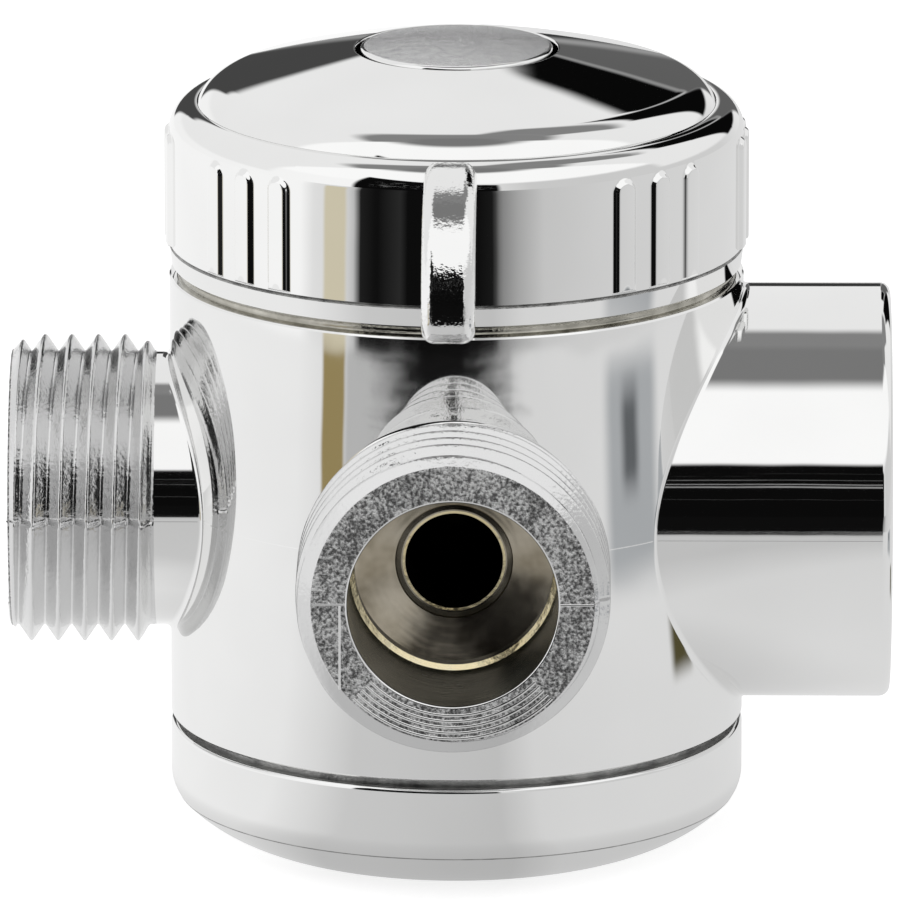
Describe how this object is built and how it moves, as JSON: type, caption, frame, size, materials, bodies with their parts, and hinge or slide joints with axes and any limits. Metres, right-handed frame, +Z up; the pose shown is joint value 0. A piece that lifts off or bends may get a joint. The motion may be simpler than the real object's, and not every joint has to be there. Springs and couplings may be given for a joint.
{
  "type": "diverter valve",
  "caption": "Three-way shower diverter valve: a turning knob with a pointer sends water from the female inlet to the front outlet, the left outlet or both.",
  "frame": {"origin": "on the body's upright axis, at the flat underside of the base cap", "axes": "+X out of the female inlet, -Y out of the front outlet, -X out of the left outlet, +Z up the knob's axis"},
  "size_m": [0.0598, 0.0508, 0.055],
  "materials": {
    "chrome": "polished chrome plating on brass",
    "satin_chrome": "satin, fine speckle",
    "black_plastic": "matt acetal",
    "rubber": "moulded EPDM",
    "steel": "stainless",
    "cartridge_plastic": "moulded plastic",
    "ceramic": "lapped alumina",
    "brass": "machined brass"
  },
  "bodies": {
    "root": {"valve_body": "chrome", "base_cap": "chrome", "base_cap_oring": "rubber", "inlet_washer": "rubber", "inlet_screen": "steel", "port_seal": "rubber", "cartridge_base": "cartridge_plastic", "fixed_disc": "ceramic", "cartridge_housing": "cartridge_plastic", "cartridge_oring": "rubber", "thrust_washer": "cartridge_plastic", "bonnet_nut": "brass", "glide_ring": "steel", "stop_ring": "black_plastic"},
    "knob": {"knob": "chrome", "knob_dome": "chrome", "knob_button": "satin_chrome", "knob_screw": "steel", "screw_washer": "steel", "stem": "brass", "stem_orings": "rubber", "stem_clip": "steel", "disc_carrier": "cartridge_plastic", "moving_disc": "ceramic"}
  },
  "joints": [
    {"name": "knob_turn", "type": "hinge", "parent": "root", "child": "knob", "pos_m": [0, 0, 0.045], "axis": [0, 0, 1], "range_deg": [-89.25, 0.75]}
  ]
}
